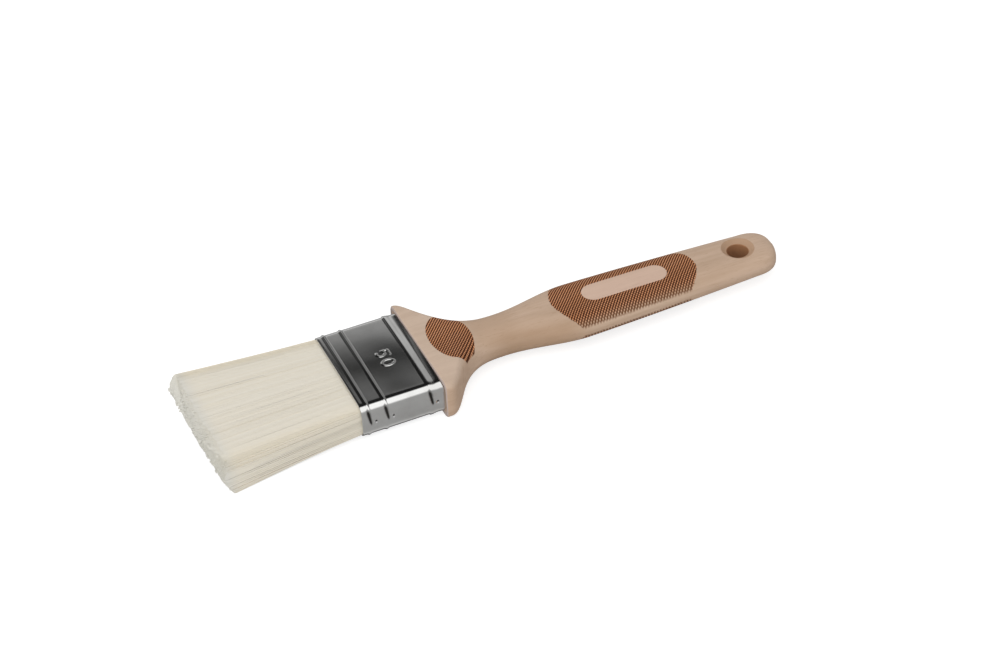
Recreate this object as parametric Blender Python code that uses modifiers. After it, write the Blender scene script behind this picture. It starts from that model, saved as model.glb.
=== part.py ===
"""Flat paint brush: beech handle, bright steel ferrule, resin heel, filler strips and three rows of bristle.

The brush lies on its back face. X runs along it, with the bristle tips at -X and the butt at +X, Y runs
across it and Z is up. The origin is under the middle of the brush, on the surface that it lies on.
"""

import math

import bmesh
import bpy
from mathutils import Matrix

MM = 0.001

# Gaps between pieces that touch on the real brush
FIT_GAP = 0.3 * MM

# Ferrule: outside sizes, sheet and beads. Distances along it start at its mouth, where the bristle comes out.
FERRULE_LENGTH = 34.2 * MM
FERRULE_WIDTH = 50.5 * MM
FERRULE_THICKNESS = 15.4 * MM
FERRULE_CORNER = 3.0 * MM
FERRULE_SHEET = 0.4 * MM
BEAD_PLACES = (3.0 * MM, 10.3 * MM, 29.0 * MM)
BEAD_WIDTH = 2.0 * MM
BEAD_HEIGHT = 0.5 * MM
BEAD_END_BELOW_MIDDLE = 1.6 * MM
BEAD_END_FADE = 1.0 * MM
DOT_FROM_BEAD = 2.9 * MM
DOT_DIAMETER = 1.4 * MM
DOT_DEPTH = 0.18 * MM
DOT_BELOW_MIDDLE = 0.7 * MM

# Handle: full widths (Y) and thicknesses (Z). Distances along it start at the shoulder beside the ferrule.
HANDLE_LENGTH = 159.4 * MM
STOCK_LENGTH = 16.0 * MM
EAR_OVERHANG = 3.55 * MM
HEAD_PROUD = 1.0 * MM
HEAD_EDGE = 3.0 * MM
HEAD_FLAT = 10.0 * MM
SHOULDER_CHAMFER = 1.0 * MM
EAR_DEPTH = 4.3 * MM
EAR_ROUND = 3.0 * MM
NECK_PLACE = 34.8 * MM
NECK_WIDTH = 18.0 * MM
NECK_THICKNESS = 15.0 * MM
GRIP_PLACE = 69.0 * MM
GRIP_WIDTH = 30.4 * MM
GRIP_THICKNESS = 13.6 * MM
BUTT_ROUND = 11.6 * MM
BUTT_WIDTH = 23.2 * MM
BUTT_THICKNESS = 11.4 * MM
HANG_HOLE_DIAMETER = 9.0 * MM
HANG_HOLE_FROM_BUTT = 15.8 * MM
COUNTERSINK_DIAMETER = 14.4 * MM
COUNTERSINK_DEPTH = 1.8 * MM

# Shape of the handle's curves
FLARE_POWER = 2.65
GRIP_TAPER_POWER = 1.2
GRIP_THINNING_POWER = 2.0
BUTT_OUTLINE_POWER = 2.5
BUTT_EDGE_POWER = 4.0
ROUND_SHARE_ACROSS = 0.85
ROUND_SHARE_UP = 0.92

# Bristle: three rows with a filler strip in each gap. Lengths are what stands out of the ferrule.
BRISTLE_OUT = 60.5 * MM
BRISTLE_OUT_AT_FACES = 57.5 * MM
BRISTLE_SPREAD = 4.75 * MM
BRISTLE_TIP_THICKNESS = 13.0 * MM
BRISTLE_BACKING = 8.0 * MM
BACKING_IN_MOUTH = 2.0 * MM
FILLER_THICKNESS = 1.6 * MM
STRANDS_ACROSS = 40
STRAND_LINES_PER_ROW = 3
STRAND_GAP = 0.24 * MM
STRAND_TIP_SHARE = 0.45

# Counts of points on round stretches
CORNER_STEPS = 6
HANDLE_STEP = 4.0 * MM
BUTT_STEPS = 7
HOLE_STEPS = 40

# Sizes and places worked out from those above
HEAD_WIDTH = FERRULE_WIDTH + 2 * EAR_OVERHANG
HEAD_THICKNESS = FERRULE_THICKNESS + 2 * HEAD_PROUD
BRISTLE_TIP_WIDTH = FERRULE_WIDTH + 2 * BRISTLE_SPREAD
TOTAL_LENGTH = BRISTLE_OUT + FERRULE_LENGTH + HANDLE_LENGTH
MOUTH_X = BRISTLE_OUT - TOTAL_LENGTH / 2
SHOULDER_X = MOUTH_X + FERRULE_LENGTH
AXIS_Z = HEAD_THICKNESS / 2
FERRULE_END_X = SHOULDER_X - FIT_GAP
INSIDE_WIDTH = FERRULE_WIDTH - 2 * (FERRULE_SHEET + FIT_GAP)
INSIDE_THICKNESS = FERRULE_THICKNESS - 2 * (FERRULE_SHEET + FIT_GAP)
INSIDE_CORNER = FERRULE_CORNER - FERRULE_SHEET - FIT_GAP
BACKING_X = MOUTH_X + BACKING_IN_MOUTH
HEEL_X = BACKING_X + BRISTLE_BACKING + FIT_GAP
STOCK_X = SHOULDER_X - STOCK_LENGTH
ROW_THICKNESS = (INSIDE_THICKNESS - 2 * FILLER_THICKNESS - 4 * FIT_GAP) / 3
ROW_PITCH = ROW_THICKNESS + FILLER_THICKNESS + 2 * FIT_GAP


def clear_scene():
    for thing in list(bpy.data.objects):
        bpy.data.objects.remove(thing, do_unlink=True)


def make_collection(name):
    collection = bpy.data.collections.new(name)
    bpy.context.scene.collection.children.link(collection)
    return collection


def make_material(name, colour, roughness, metallic=0.0):
    material = bpy.data.materials.new(name)
    material.use_nodes = True
    shader = material.node_tree.nodes["Principled BSDF"]
    shader.inputs["Base Color"].default_value = (*colour, 1.0)
    shader.inputs["Roughness"].default_value = roughness
    shader.inputs["Metallic"].default_value = metallic
    return material


def add_object(name, mesh_data, collection, material=None):
    """Turn a bmesh into a named object, smooth on its round stretches."""
    bmesh.ops.recalc_face_normals(mesh_data, faces=mesh_data.faces)
    mesh = bpy.data.meshes.new(name)
    mesh_data.to_mesh(mesh)
    mesh_data.free()
    mesh.shade_smooth()
    mesh.set_sharp_from_angle(angle=math.radians(35))
    thing = bpy.data.objects.new(name, mesh)
    collection.objects.link(thing)
    if material:
        mesh.materials.append(material)
    return thing


def cut_with(target, cutter):
    modifier = target.modifiers.new("cut_" + cutter.name, "BOOLEAN")
    modifier.operation = "DIFFERENCE"
    modifier.object = cutter
    cutter.hide_render = True
    cutter.display_type = "WIRE"


def ease(share):
    """Smooth step from 0 to 1."""
    share = min(max(share, 0.0), 1.0)
    return share * share * (3.0 - 2.0 * share)


def blend(start, end, share):
    return start + (end - start) * share


def smooth_minimum(first, second, width):
    """The lesser of two values, with the corner between them rounded."""
    nearness = max(width - abs(first - second), 0.0) / width
    return min(first, second) - nearness * nearness * width / 4


def section(half_width, half_thickness, round_across, round_up):
    """Points (y, z) of a rectangle with quarter-ellipse corners, once round."""
    points = []
    for quarter in range(4):
        for step in range(CORNER_STEPS + 1):
            angle = math.pi / 2 * (quarter + step / CORNER_STEPS)
            side_y = 1 if quarter in (0, 3) else -1
            side_z = 1 if quarter in (0, 1) else -1
            y = side_y * (half_width - round_across) + round_across * math.cos(angle)
            z = side_z * (half_thickness - round_up) + round_up * math.sin(angle)
            points.append((y, z))
    return points


def loft(rings, capped=True):
    """Skin a list of rings of (x, y, z) points, each with the same number of points."""
    mesh_data = bmesh.new()
    ring_verts = []
    for ring in rings:
        ring_verts.append([mesh_data.verts.new(point) for point in ring])
    for ring, following in zip(ring_verts, ring_verts[1:]):
        for index in range(len(ring)):
            after = (index + 1) % len(ring)
            mesh_data.faces.new((ring[index], ring[after], following[after], following[index]))
    if capped:
        mesh_data.faces.new(ring_verts[0])
        mesh_data.faces.new(reversed(ring_verts[-1]))
    return mesh_data


def ring_at(x, outline):
    return [(x, y, AXIS_Z + z) for y, z in outline]


# Handle


def handle_half_width(distance):
    """Half width at a distance from the shoulder, up to where the butt starts to round off."""
    ear, neck, grip, butt = HEAD_WIDTH / 2, NECK_WIDTH / 2, GRIP_WIDTH / 2, BUTT_WIDTH / 2
    if distance < NECK_PLACE:
        share = (NECK_PLACE - distance) / (NECK_PLACE - EAR_DEPTH)
        return smooth_minimum(ear, blend(neck, ear, share**FLARE_POWER), EAR_ROUND)
    if distance < GRIP_PLACE:
        return blend(neck, grip, ease((distance - NECK_PLACE) / (GRIP_PLACE - NECK_PLACE)))
    share = (distance - GRIP_PLACE) / (HANDLE_LENGTH - BUTT_ROUND - GRIP_PLACE)
    return blend(grip, butt, share**GRIP_TAPER_POWER)


def handle_half_thickness(distance):
    head, neck, grip, butt = HEAD_THICKNESS / 2, NECK_THICKNESS / 2, GRIP_THICKNESS / 2, BUTT_THICKNESS / 2
    if distance < NECK_PLACE:
        return blend(head, neck, ease((distance - HEAD_FLAT) / (NECK_PLACE - HEAD_FLAT)))
    if distance < GRIP_PLACE:
        return blend(neck, grip, ease((distance - NECK_PLACE) / (GRIP_PLACE - NECK_PLACE)))
    share = (distance - GRIP_PLACE) / (HANDLE_LENGTH - BUTT_ROUND - GRIP_PLACE)
    return blend(grip, butt, share**GRIP_THINNING_POWER)


def handle_section(distance, half_width, half_thickness):
    """Outline of the handle: boxy at the head, oval from the neck on."""
    share = ease((distance - EAR_DEPTH) / (NECK_PLACE - EAR_DEPTH))
    round_across = blend(HEAD_EDGE, ROUND_SHARE_ACROSS * half_width, share)
    round_up = blend(HEAD_EDGE, ROUND_SHARE_UP * half_thickness, share)
    return section(half_width, half_thickness, round_across, round_up)


def handle_stations():
    """Distances from the shoulder at which the handle has a ring, up to the rounded butt."""
    places = (
        SHOULDER_CHAMFER,
        EAR_DEPTH - EAR_ROUND / 2,
        EAR_DEPTH + EAR_ROUND / 2,
        HEAD_FLAT,
        NECK_PLACE,
        GRIP_PLACE,
        HANDLE_LENGTH - BUTT_ROUND,
    )
    stations = [places[0]]
    for start, end in zip(places, places[1:]):
        count = max(2, math.ceil((end - start) / HANDLE_STEP))
        stations += [blend(start, end, step / count) for step in range(1, count + 1)]
    return stations


def handle_rings():
    stock = section(INSIDE_WIDTH / 2, INSIDE_THICKNESS / 2, INSIDE_CORNER, INSIDE_CORNER)
    rings = [ring_at(STOCK_X, stock), ring_at(SHOULDER_X, stock)]
    front_width = handle_half_width(0.0) - SHOULDER_CHAMFER
    front_thickness = handle_half_thickness(0.0) - SHOULDER_CHAMFER
    rings.append(ring_at(SHOULDER_X, handle_section(0.0, front_width, front_thickness)))
    for distance in handle_stations():
        outline = handle_section(distance, handle_half_width(distance), handle_half_thickness(distance))
        rings.append(ring_at(SHOULDER_X + distance, outline))
    for step in range(1, BUTT_STEPS + 1):
        share = math.sin(math.pi / 2 * step / (BUTT_STEPS + 0.5))
        width = BUTT_WIDTH / 2 * (1 - share**BUTT_OUTLINE_POWER) ** (1 / BUTT_OUTLINE_POWER)
        thickness = BUTT_THICKNESS / 2 * (1 - share**BUTT_EDGE_POWER) ** (1 / BUTT_EDGE_POWER)
        reach = share if step < BUTT_STEPS else 1.0
        distance = HANDLE_LENGTH - BUTT_ROUND * (1 - reach)
        rings.append(ring_at(SHOULDER_X + distance, handle_section(distance, width, thickness)))
    return rings


def hang_hole_cutter(collection):
    """A turned plug with the hole's bore and a countersink at each face."""
    bore = HANG_HOLE_DIAMETER / 2
    mouth = COUNTERSINK_DIAMETER / 2
    place = HANDLE_LENGTH - HANG_HOLE_FROM_BUTT
    face = handle_half_thickness(min(place, HANDLE_LENGTH - BUTT_ROUND))
    slope = (mouth - bore) / COUNTERSINK_DEPTH
    over = HEAD_EDGE
    far = mouth + slope * over
    profile = ((0, face + over), (far, face + over), (bore, face - COUNTERSINK_DEPTH))
    mesh_data = bmesh.new()
    upper = [mesh_data.verts.new((radius, 0, height)) for radius, height in profile]
    lower = [mesh_data.verts.new((radius, 0, -height)) for radius, height in reversed(profile)]
    line = upper + lower
    for start, end in zip(line, line[1:]):
        mesh_data.edges.new((start, end))
    mesh = bpy.data.meshes.new("hang_hole_cutter")
    mesh_data.to_mesh(mesh)
    mesh_data.free()
    cutter = bpy.data.objects.new("hang_hole_cutter", mesh)
    collection.objects.link(cutter)
    cutter.location = (SHOULDER_X + place, 0, AXIS_Z)
    turn = cutter.modifiers.new("turn", "SCREW")
    turn.axis = "Z"
    turn.angle = 2 * math.pi
    turn.steps = HOLE_STEPS
    turn.render_steps = HOLE_STEPS
    turn.use_merge_vertices = True
    turn.merge_threshold = 0.00001
    return cutter


def make_handle(parts, cutters):
    beech = make_material("beech", (0.60, 0.43, 0.31), 0.6)
    handle = add_object("handle", loft(handle_rings()), parts, beech)
    cut_with(handle, hang_hole_cutter(cutters))


# Ferrule


def bead_share(z):
    """Share of a bead's height at a height z from the middle: a bead dies out low on the narrow sides."""
    fade_top = -BEAD_END_BELOW_MIDDLE
    corner = FERRULE_THICKNESS / 2 - FERRULE_CORNER
    if z >= -corner:
        return ease((z - fade_top + BEAD_END_FADE) / BEAD_END_FADE)
    return ease((-z - corner) / FERRULE_CORNER)


def ferrule_outline(raised):
    """Outline of the sleeve, with extra points where the beads end, raised outwards by a bead."""
    corner_centre_y = FERRULE_WIDTH / 2 - FERRULE_CORNER
    corner_centre_z = FERRULE_THICKNESS / 2 - FERRULE_CORNER
    plain = section(FERRULE_WIDTH / 2, FERRULE_THICKNESS / 2, FERRULE_CORNER, FERRULE_CORNER)
    quarter = CORNER_STEPS + 1
    side = FERRULE_WIDTH / 2
    ends = (-BEAD_END_BELOW_MIDDLE, -BEAD_END_BELOW_MIDDLE - BEAD_END_FADE)
    left = [(-side, z) for z in ends]
    right = [(side, z) for z in reversed(ends)]
    outline = []
    for y, z in plain[: 2 * quarter] + left + plain[2 * quarter :] + right:
        out_y = max(abs(y) - corner_centre_y, 0.0)
        out_z = max(abs(z) - corner_centre_z, 0.0)
        scale = raised * bead_share(z) / math.hypot(out_y, out_z)
        outline.append((y + math.copysign(out_y, y) * scale, z + math.copysign(out_z, z) * scale))
    return outline


def ferrule_rings():
    rings = [ring_at(MOUTH_X, ferrule_outline(0.0))]
    for place in BEAD_PLACES:
        for step in (-2, -1, 0, 1, 2):
            raised = BEAD_HEIGHT * math.cos(math.pi / 4 * step) ** 2
            rings.append(ring_at(MOUTH_X + place + BEAD_WIDTH / 4 * step, ferrule_outline(raised)))
    rings.append(ring_at(FERRULE_END_X, ferrule_outline(0.0)))
    return rings


def make_ferrule(parts, cutters):
    steel = make_material("tinned_steel", (0.72, 0.72, 0.72), 0.18, 1.0)
    ferrule = add_object("ferrule", loft(ferrule_rings(), capped=False), parts, steel)
    sheet = ferrule.modifiers.new("sheet", "SOLIDIFY")
    sheet.thickness = FERRULE_SHEET
    sheet.offset = -1.0
    sheet.use_even_offset = True
    for side in (-1, 1):
        for number, place in enumerate(BEAD_PLACES):
            cut_with(ferrule, dot_cutter(side, number, place, cutters))


def dot_cutter(side, number, bead_place, collection):
    """Ball that presses one dot into a narrow side, just behind the end of a bead."""
    radius = (DOT_DIAMETER**2 / 4 + DOT_DEPTH**2) / (2 * DOT_DEPTH)
    mesh_data = bmesh.new()
    bmesh.ops.create_uvsphere(mesh_data, u_segments=24, v_segments=12, radius=radius)
    bmesh.ops.rotate(mesh_data, verts=mesh_data.verts, matrix=Matrix.Rotation(math.pi / 2, 3, "X"))
    name = "dot_cutter_" + ("right" if side > 0 else "left") + "_" + str(number + 1)
    cutter = add_object(name, mesh_data, collection)
    x = MOUTH_X + bead_place + DOT_FROM_BEAD
    y = side * (FERRULE_WIDTH / 2 + radius - DOT_DEPTH)
    cutter.location = (x, y, AXIS_Z - DOT_BELOW_MIDDLE)
    return cutter


# Inside the ferrule


def block(name, length, width, thickness, collection, material, corner=0.0):
    """A block along X whose four long edges are rounded where a corner is given."""
    mesh_data = bmesh.new()
    bmesh.ops.create_cube(mesh_data, size=1.0)
    bmesh.ops.scale(mesh_data, vec=(length, width, thickness), verts=mesh_data.verts)
    if corner:
        long_edges = [edge for edge in mesh_data.edges if edge.verts[0].co.x * edge.verts[1].co.x < 0]
        bmesh.ops.bevel(
            mesh_data, geom=long_edges, offset=corner, segments=CORNER_STEPS, profile=0.5, affect="EDGES"
        )
    return add_object(name, mesh_data, collection, material)


def make_heel(parts):
    resin = make_material("resin", (0.55, 0.36, 0.12), 0.35)
    length = STOCK_X - FIT_GAP - HEEL_X
    heel = block("resin_heel", length, INSIDE_WIDTH, INSIDE_THICKNESS, parts, resin, INSIDE_CORNER)
    heel.location = (HEEL_X + length / 2, 0, AXIS_Z)


def make_fillers(parts):
    card = make_material("filler_card", (0.42, 0.36, 0.28), 0.8)
    for name, side in (("filler_strip_front", 1), ("filler_strip_back", -1)):
        filler = block(name, BRISTLE_BACKING, INSIDE_WIDTH, FILLER_THICKNESS, parts, card)
        filler.location = (BACKING_X + BRISTLE_BACKING / 2, 0, AXIS_Z + side * ROW_PITCH / 2)


# Bristle


def row_width(side):
    """Width of a row's backing: the outer rows stay clear of the ferrule's round corners."""
    if side == 0:
        return INSIDE_WIDTH
    return INSIDE_WIDTH - 2 * INSIDE_CORNER


def tip_place(side, y, z):
    """Where the tip lies of a strand that leaves a row's backing at y, z.

    The rows fan out across the brush and close up past the filler strips, and are shorter at the faces.
    """
    tip_share = BRISTLE_TIP_THICKNESS / 3
    tip_y = y * BRISTLE_TIP_WIDTH / row_width(side)
    tip_z = side * tip_share + (z - side * ROW_PITCH) * tip_share / ROW_THICKNESS
    depth = tip_z / (BRISTLE_TIP_THICKNESS / 2)
    tip_x = MOUTH_X - blend(BRISTLE_OUT, BRISTLE_OUT_AT_FACES, depth * depth)
    return (tip_x, tip_y, tip_z)


def make_row(name, side, parts, material):
    """One row: a grid of strands drawn out of the front of a slice of resin."""
    width = row_width(side)
    mesh_data = bmesh.new()
    bmesh.ops.create_grid(
        mesh_data, x_segments=STRANDS_ACROSS, y_segments=STRAND_LINES_PER_ROW, size=0.5
    )
    for vert in mesh_data.verts:
        y, z = vert.co.x * width, vert.co.y * ROW_THICKNESS + side * ROW_PITCH
        vert.co = (BACKING_X, y, z)
    cells = list(mesh_data.faces)
    rim = [edge for edge in mesh_data.edges if edge.is_boundary]
    drawn = bmesh.ops.extrude_edge_only(mesh_data, edges=rim)
    back_verts = [item for item in drawn["geom"] if isinstance(item, bmesh.types.BMVert)]
    bmesh.ops.translate(mesh_data, vec=(BRISTLE_BACKING, 0, 0), verts=back_verts)
    back_edges = [item for item in drawn["geom"] if isinstance(item, bmesh.types.BMEdge)]
    bmesh.ops.edgeloop_fill(mesh_data, edges=[edge for edge in back_edges if edge.is_boundary])
    bmesh.ops.inset_individual(mesh_data, faces=cells, thickness=STRAND_GAP / 2)
    strands = bmesh.ops.extrude_discrete_faces(mesh_data, faces=cells)["faces"]
    for tip in strands:
        centre = tip.calc_center_median()
        x, y, z = tip_place(side, centre.y, centre.z)
        for vert in tip.verts:
            across = (vert.co.y - centre.y) * STRAND_TIP_SHARE
            up = (vert.co.z - centre.z) * STRAND_TIP_SHARE
            vert.co = (x, y + across, z + up)
    bmesh.ops.translate(mesh_data, vec=(0, 0, AXIS_Z), verts=mesh_data.verts)
    return add_object(name, mesh_data, parts, material)


def make_bristle(parts):
    filament = make_material("filament", (0.72, 0.68, 0.58), 0.55)
    make_row("bristle_row_front", 1, parts, filament)
    make_row("bristle_row_middle", 0, parts, filament)
    make_row("bristle_row_back", -1, parts, filament)


def main():
    clear_scene()
    parts = make_collection("paint_brush")
    cutters = make_collection("cutters")
    make_handle(parts, cutters)
    make_ferrule(parts, cutters)
    make_heel(parts)
    make_fillers(parts)
    make_bristle(parts)


main()
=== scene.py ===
"""Looks of the flat paint brush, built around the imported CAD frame.

The brush lies on its back face on a pale floor. X runs along it, with the bristle tips at -X and the butt at
+X, Y runs across it and Z is up. Lengths are in metres, in the frame of the CAD model.
"""

import math

import bmesh
import bpy
import numpy as np
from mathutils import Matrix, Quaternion, Vector, noise


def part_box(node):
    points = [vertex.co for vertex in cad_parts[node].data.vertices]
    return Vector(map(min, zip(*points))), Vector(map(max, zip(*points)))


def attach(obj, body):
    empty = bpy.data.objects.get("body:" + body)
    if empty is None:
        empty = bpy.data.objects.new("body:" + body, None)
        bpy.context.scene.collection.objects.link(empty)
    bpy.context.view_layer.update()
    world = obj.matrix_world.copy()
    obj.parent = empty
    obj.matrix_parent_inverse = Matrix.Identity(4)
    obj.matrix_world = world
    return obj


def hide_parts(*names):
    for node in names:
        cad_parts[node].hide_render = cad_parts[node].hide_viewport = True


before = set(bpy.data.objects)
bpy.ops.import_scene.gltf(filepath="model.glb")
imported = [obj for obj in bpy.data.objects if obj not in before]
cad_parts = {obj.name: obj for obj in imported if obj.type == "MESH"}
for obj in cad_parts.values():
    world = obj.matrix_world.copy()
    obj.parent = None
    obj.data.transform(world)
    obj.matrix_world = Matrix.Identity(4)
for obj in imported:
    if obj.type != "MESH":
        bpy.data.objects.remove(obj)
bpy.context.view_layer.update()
BODY = "root"
MM = 0.001

# Camera, as the photograph was taken
CAMERA_PLACE = (-0.29801, -0.73309, 0.66595)
CAMERA_AIM = (0.00355, 0.0005, 0.00896)
CAMERA_ROLL = math.radians(3.06)
CAMERA_LENS = 92.27
CAMERA_SENSOR = 36.0

# Places and sizes read from the frame
FERRULE_LOW, FERRULE_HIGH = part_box("ferrule")
HANDLE_LOW, HANDLE_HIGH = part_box("handle")
MOUTH_X = FERRULE_LOW.x
AXIS_Z = (HANDLE_LOW.z + HANDLE_HIGH.z) / 2
BUTT_X = HANDLE_HIGH.x
STOCK_X = HANDLE_LOW.x
FERRULE_END_X = FERRULE_HIGH.x

# Ferrule: sizes of the sleeve. Distances along it start at its mouth.
FIT_GAP = 0.3 * MM
FERRULE_WIDTH = 50.5 * MM
FERRULE_THICKNESS = 15.4 * MM
FERRULE_CORNER = 3.4 * MM
FERRULE_SHEET = 0.4 * MM
FERRULE_LENGTH = FERRULE_END_X - MOUTH_X
FACE_CROWN = 0.42 * MM
SIDE_CROWN = 0.08 * MM
MOUTH_CURL = 0.35 * MM
BEAD_PLACES = (3.0 * MM, 10.3 * MM, 29.0 * MM)
BEAD_WIDTH = 2.0 * MM
BEAD_RUN_OUT = 3.2 * MM
BEAD_HEIGHT = 0.42 * MM
BEAD_END = 4.4 * MM
BEAD_END_FADE = 2.2 * MM
BEAD_LEAN = 0.16
SLOT_FROM_BEAD = 0.65 * MM
SLOT_HALF_WIDTH = 1.30 * MM
SLOT_LOW_HALF_WIDTH = 0.80 * MM
SLOT_TOP = 6.0 * MM
SLOT_LOW = -2.0 * MM
SLOT_DEPTH = 0.26 * MM
DOT_FROM_BEAD = 2.9 * MM
DOT_RADIUS = 1.15 * MM
DOT_DEPTH = 0.42 * MM
# How far above each dot's middle its painted shade is centred
DOT_SHADE_LIFT = 0.35 * MM
DOT_BELOW_MIDDLE = 0.7 * MM
STRIP_RISE = 0.15 * MM
END_REACH = 1.4 * MM
END_REACH_FADE = 4.0 * MM
END_FLARE = 0.45 * MM
SHOULDER_HOLLOW = 2.0 * MM
WAVE_HEIGHT = 0.05 * MM
WAVE_LENGTH = 14.0 * MM

# Size number pressed into the front of the ferrule: digits read across the brush, their tops to the handle
NUMBER_X = 20.0 * MM
NUMBER_Y = -1.4 * MM
DIGIT_PITCH = 6.0 * MM
DIGIT_HEIGHT = 5.0 * MM
DIGIT_WIDTH = 3.5 * MM
DIGIT_STROKE = 0.64 * MM
DIGIT_RAISED = 0.36 * MM
DIGIT_MARGIN = 0.5 * MM

# Handle: full widths (Y) and thicknesses (Z). Distances along it start at the shoulder beside the ferrule.
SHOULDER_X = FERRULE_END_X + FIT_GAP
HANDLE_LENGTH = BUTT_X - SHOULDER_X
HEAD_WIDTH = 57.6 * MM
HEAD_THICKNESS = 17.4 * MM
HEAD_EDGE = 3.0 * MM
HEAD_FLAT = 10.0 * MM
SHOULDER_ROUND = 0.7 * MM
EAR_DEPTH = 6.2 * MM
EAR_ROUND = 10.0 * MM
EDGE_ROUND_START = 4.0 * MM
EDGE_ROUND_END = 30.0 * MM
NECK_PLACE = 34.8 * MM
NECK_WIDTH = 18.0 * MM
NECK_THICKNESS = 15.0 * MM
GRIP_PLACE = 69.0 * MM
GRIP_WIDTH = 29.6 * MM
GRIP_THICKNESS = 13.6 * MM
BUTT_ROUND = 11.6 * MM
BUTT_WIDTH = 23.2 * MM
BUTT_THICKNESS = 11.4 * MM
HOLE_PLACE = HANDLE_LENGTH - 15.8 * MM
HOLE_RADIUS = 4.5 * MM
HOLE_EDGE = 0.5 * MM
DISH_RADIUS = 6.9 * MM
DISH_DEPTH = 2.0 * MM
FLARE_POWER = 3.3
FAR_EAR_DEPTH = 2.5 * MM
FAR_EAR_ROUND = 3.0 * MM
FAR_FLARE_POWER = 2.6
GRIP_TAPER_POWER = 1.2
GRIP_THINNING_POWER = 2.0
BUTT_OUTLINE_POWER = 2.5
BUTT_EDGE_POWER = 4.0
NECK_ROUND_SHARE = 0.85
GRIP_ROUND_SHARE = 0.70
ROUND_SHARE_UP = 0.92

# Burned grip pattern on the handle. Distances along it start at the shoulder.
HATCH_PITCH = 1.33 * MM
HATCH_SLANT = 0.885
HATCH_GROOVE_SHARE = 0.49
HATCH_DEPTH = 0.16 * MM
HATCH_SECOND_NEAR = 0.69
HATCH_SECOND_FAR = 0.40
BARE_SIDE_MIDDLE = 0.5 * MM
BARE_SIDE = 1.15 * MM
BARE_SIDE_FADE = 1.5 * MM
NECK_PATCH_MIDDLE = 13.7 * MM
NECK_PATCH_MIDDLE_Y = -1.0 * MM
NECK_PATCH_HALF_LENGTH = 8.6 * MM
NECK_PATCH_HALF_WIDTH = 14.1 * MM
NECK_PATCH_LOW = 3.8 * MM
NECK_PATCH_BACK_LOW = 6.4 * MM
GRIP_PATCH_START = 58.6 * MM
GRIP_PATCH_START_BOW = 35.0
GRIP_PATCH_END = 123.2 * MM
GRIP_PATCH_END_BOW = 45.0
WINDOW_START = 72.5 * MM
WINDOW_END = 110.2 * MM
WINDOW_HALF_WIDTH = 5.1 * MM

# Bristle: what stands out of the ferrule, and the filaments that it is made of
BRISTLE_OUT = 60.3 * MM
BRISTLE_OUT_AT_FACES = 56.9 * MM
BRISTLE_NEAR_SHORTER = 1.0 * MM
BRISTLE_NEAR_CORNER = 1.0 * MM
BRISTLE_HALF_WIDTH = 24.4 * MM
BRISTLE_HALF_THICKNESS = 6.9 * MM
BRISTLE_CORNER = 2.3 * MM
BRISTLE_TIP_CORNER_NEAR_TOP = 5.6 * MM
BRISTLE_TIP_CORNER_NEAR_LOW = 0.7 * MM
BRISTLE_TIP_CORNER_FAR = 1.2 * MM
BRISTLE_TIP_FAR = 29.3 * MM
BRISTLE_TIP_NEAR = 30.8 * MM
BRISTLE_SPREAD_LIMIT = 30.8 * MM
BRISTLE_TIP_HALF_THICKNESS = 6.6 * MM
BRISTLE_SAG = 1.8 * MM
BRISTLE_ROOT_IN = 9.5 * MM
BRISTLE_PINCH_IN = 2.4 * MM
BRISTLE_PINCH_SHARE = 0.66
BRISTLE_FAN_POWER = 1.12
FILAMENT_RADIUS = 0.29 * MM
FILAMENT_TIP_SHARE = 1.60
FILAMENTS_ACROSS = 150
FILAMENT_LINES_PER_ROW = 13
FILAMENT_SIDES = 3
FILAMENT_SHARES = (0.0, 0.25, 0.5, 0.75, 1.0)
FILAMENT_SEED = 23
STRAY_SHARE = 0.012
CUT_ROUGHNESS = 0.25 * MM
SPIKE_SHARE = 0.035
SPIKE_LENGTH = 1.0 * MM


# General helpers


def ease(share):
    """Smooth step from 0 to 1, for a number or an array."""
    share = np.clip(share, 0.0, 1.0)
    return share * share * (3.0 - 2.0 * share)


def mix(start, end, share):
    return start + (end - start) * share


def smooth_minimum(first, second, width):
    """The lesser of two values, with the corner between them rounded."""
    nearness = max(width - abs(first - second), 0.0) / width
    return min(first, second) - nearness * nearness * width / 4


def steps(start, end, longest):
    """Places from start to end, both included, no further apart than longest."""
    count = max(1, math.ceil((end - start) / longest - 1e-9))
    return [mix(start, end, index / count) for index in range(count + 1)]


def graded(start, end, coarse, fine_runs, fine):
    """Places from start to end, coarse steps apart, and fine steps apart within the runs given."""
    places = []
    cursor = start
    for run_start, run_end in fine_runs:
        places += steps(cursor, run_start, coarse)[:-1]
        places += steps(run_start, run_end, fine)[:-1]
        cursor = run_end
    return places + steps(cursor, end, coarse)


def grid_mesh(name, rings, closed_along=False, capped=False):
    """Mesh over rings of points, each with the same number of points, closed round each ring."""
    rings = np.asarray(rings)
    count, around = rings.shape[:2]
    first = np.arange(count if closed_along else count - 1)
    following = (first + 1) % count
    index = np.arange(around)
    after = (index + 1) % around
    faces = np.stack(
        (
            first[:, None] * around + index,
            first[:, None] * around + after,
            following[:, None] * around + after,
            following[:, None] * around + index,
        ),
        axis=-1,
    )
    faces = [tuple(face) for face in faces.reshape(-1, 4).tolist()]
    if capped:
        faces.append(tuple(range(around)))
        last = (count - 1) * around
        faces.append(tuple(range(last, last + around)))
    mesh = bpy.data.meshes.new(name)
    mesh.from_pydata(rings.reshape(-1, 3).tolist(), [], faces)
    tidy = bmesh.new()
    tidy.from_mesh(mesh)
    bmesh.ops.recalc_face_normals(tidy, faces=tidy.faces)
    tidy.to_mesh(mesh)
    tidy.free()
    mesh.shade_smooth()
    return mesh


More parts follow.
